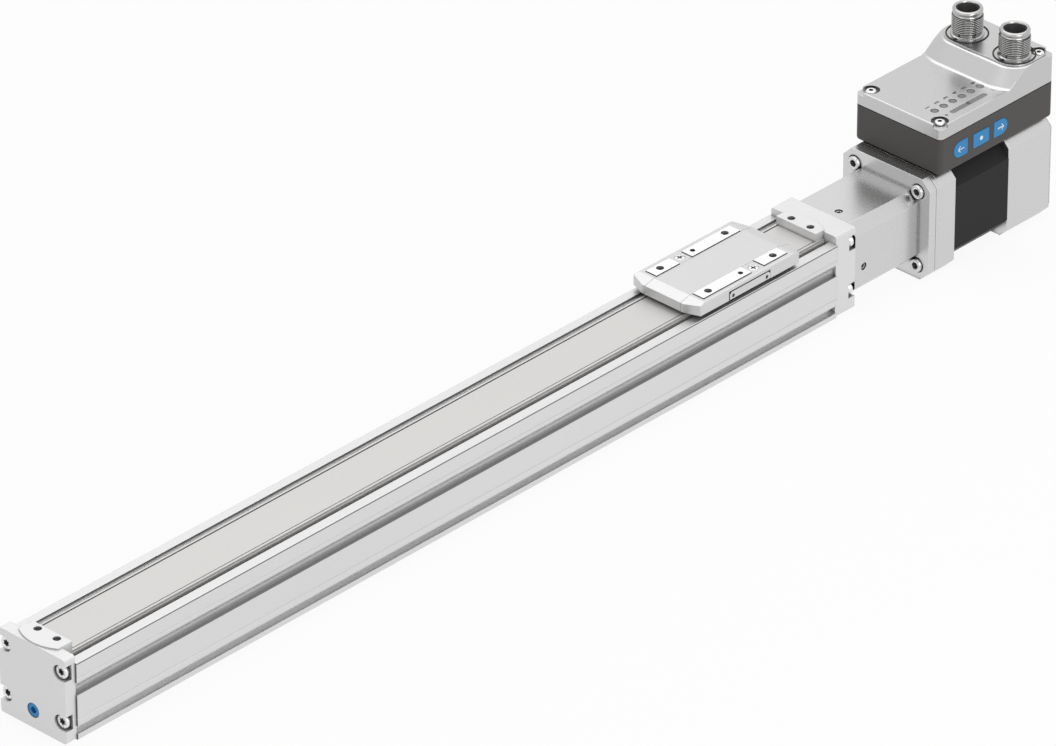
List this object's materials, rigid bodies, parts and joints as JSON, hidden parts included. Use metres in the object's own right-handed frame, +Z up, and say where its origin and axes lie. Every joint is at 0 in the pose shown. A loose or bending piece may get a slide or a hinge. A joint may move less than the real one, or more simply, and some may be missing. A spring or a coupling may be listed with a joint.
{
  "type": "ball screw linear axis",
  "caption": "Slim enclosed linear axis: square aluminium profile, guided carriage on top, ball screw inside, and a flanged stepper motor with a controller box at one end.",
  "frame": {"origin": "middle of the profile's flat underside, halfway along its length", "axes": "+X along the profile towards the motor, +Z up from the underside to the carriage, -Y the side with the push buttons"},
  "size_m": [0.5056, 0.0424, 0.0807],
  "materials": {
    "anodised_profile": "fine satin, clear anodised",
    "anodised_table": "fine satin, clear anodised",
    "cast_aluminium": "fine blasted",
    "die_cast": "fine blasted, silver",
    "steel_band": "smooth rolled, slightly warm",
    "hardened_steel": "ground",
    "zinc_screw": "zinc plated",
    "nickel": "nickel plated",
    "gold_contact": "gold plated",
    "black_laminations": "black painted",
    "copper_wire": "enamelled wire",
    "grey_plastic": "fine matt",
    "white_plastic": "plain",
    "blue_plastic": "smooth satin",
    "black_rubber": "plain",
    "lamp_window": "frosted, unlit",
    "board_green": "plain"
  },
  "bodies": {
    "base": {"profile": "anodised_profile", "guide_rail": "hardened_steel", "rail_screws": "hardened_steel", "cover_band": "steel_band", "front_cover": "cast_aluminium", "drive_cover": "cast_aluminium", "front_cover_screws": "zinc_screw", "drive_cover_screws": "zinc_screw", "band_screws": "zinc_screw", "port_plug": "blue_plastic", "coupling_housing": "cast_aluminium", "housing_set_screws": "zinc_screw", "flange_bolts": "zinc_screw", "motor_front_bell": "cast_aluminium", "motor_stator": "black_laminations", "motor_windings": "copper_wire", "motor_rear_housing": "cast_aluminium", "motor_rear_plate": "cast_aluminium", "rear_bolts": "zinc_screw", "bearing_outer_rings": "hardened_steel", "bearing_retainer": "hardened_steel", "encoder_board": "board_green", "controller_base": "grey_plastic", "base_screws": "zinc_screw", "circuit_board": "board_green", "key_switches": "grey_plastic", "cover_gasket": "black_rubber", "controller_cover": "die_cast", "box_screws": "zinc_screw", "status_lamps": "lamp_window", "level_lamps": "lamp_window", "connector_shell_near": "nickel", "connector_shell_far": "nickel", "connector_inserts": "grey_plastic", "connector_pins": "gold_contact", "connector_seals": "black_rubber"},
    "screw": {"ball_screw": "hardened_steel", "bearing_inner_rings": "hardened_steel", "lock_nut": "hardened_steel", "coupling_hub_screw": "cast_aluminium", "coupling_hub_motor": "cast_aluminium", "coupling_spider": "black_rubber", "motor_shaft": "hardened_steel", "motor_rotor": "black_laminations", "encoder_magnet": "black_laminations"},
    "carriage": {"saddle": "hardened_steel", "ball_nut": "hardened_steel", "nut_end_caps": "white_plastic", "nut_set_screws": "zinc_screw", "guide_runners": "hardened_steel", "carriage_table": "anodised_table", "centre_cover": "anodised_table", "table_screws": "zinc_screw", "side_inlays": "anodised_table", "inlay_screws": "zinc_screw"},
    "back_button": {"button_back": "blue_plastic"},
    "select_button": {"button_select": "blue_plastic"},
    "next_button": {"button_next": "blue_plastic"}
  },
  "joints": [
    {"name": "screw_spin", "type": "hinge", "parent": "base", "child": "screw", "pos_m": [0, 0, 0.0186], "axis": [1, 0, 0], "range_deg": [-180, 13320]},
    {"name": "carriage_slide", "type": "slide", "parent": "base", "child": "carriage", "axis": [1, 0, 0], "range_m": [-0.296, 0.004]},
    {"name": "button_back_press", "type": "slide", "parent": "base", "child": "back_button", "axis": [0, 1, 0], "range_m": [0, 0.0004], "stiffness_N_per_m": 400, "springref_m": -0.001},
    {"name": "button_select_press", "type": "slide", "parent": "base", "child": "select_button", "axis": [0, 1, 0], "range_m": [0, 0.0004], "stiffness_N_per_m": 400, "springref_m": -0.001},
    {"name": "button_next_press", "type": "slide", "parent": "base", "child": "next_button", "axis": [0, 1, 0], "range_m": [0, 0.0004], "stiffness_N_per_m": 400, "springref_m": -0.001}
  ],
  "couplings": [
    {"joint": "screw_spin", "follows": "carriage_slide", "rad_per_m": -785.4}
  ]
}
